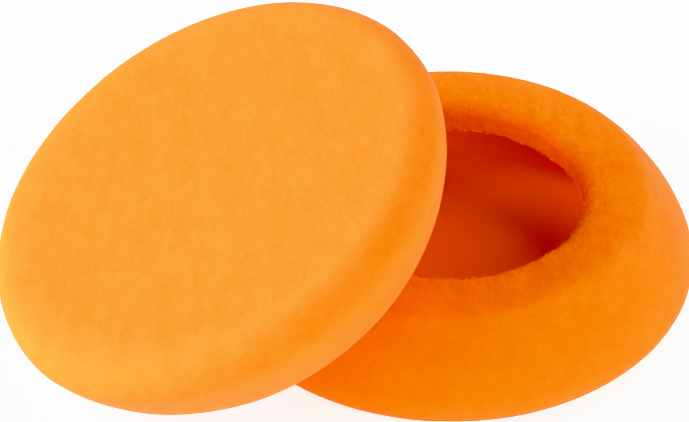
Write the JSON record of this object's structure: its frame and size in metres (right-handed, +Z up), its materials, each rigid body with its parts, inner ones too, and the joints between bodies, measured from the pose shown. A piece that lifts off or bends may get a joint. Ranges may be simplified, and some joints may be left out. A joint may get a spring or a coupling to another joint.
{
  "type": "pair of foam ear cushions",
  "caption": "Pair of thick round open-cell foam ear cushions for on-ear headphones, one lying open side up, one leaning on it.",
  "frame": {"origin": "centre of the lying cushion's ear face, on the surface both cushions stand on", "axes": "+Z up, out of the lying cushion's opening; +X points from the leaning cushion's side towards the lying cushion"},
  "size_m": [0.0925, 0.0754, 0.0391],
  "materials": {
    "pad_foam": "matte open-cell foam",
    "ring_foam": "matte open-cell foam",
    "bond_web": "matte hot-melt web"
  },
  "bodies": {
    "lying_cushion": {"lying_face_pad": "pad_foam", "lying_retaining_ring": "ring_foam", "lying_bond_web": "bond_web"},
    "leaning_cushion": {"leaning_face_pad": "pad_foam", "leaning_retaining_ring": "ring_foam", "leaning_bond_web": "bond_web"}
  },
  "joints": [
    {"name": "leaning_cushion_lift", "type": "slide", "parent": "lying_cushion", "child": "leaning_cushion", "axis": [0, 0, 1], "range_m": [0, 0.06]}
  ]
}
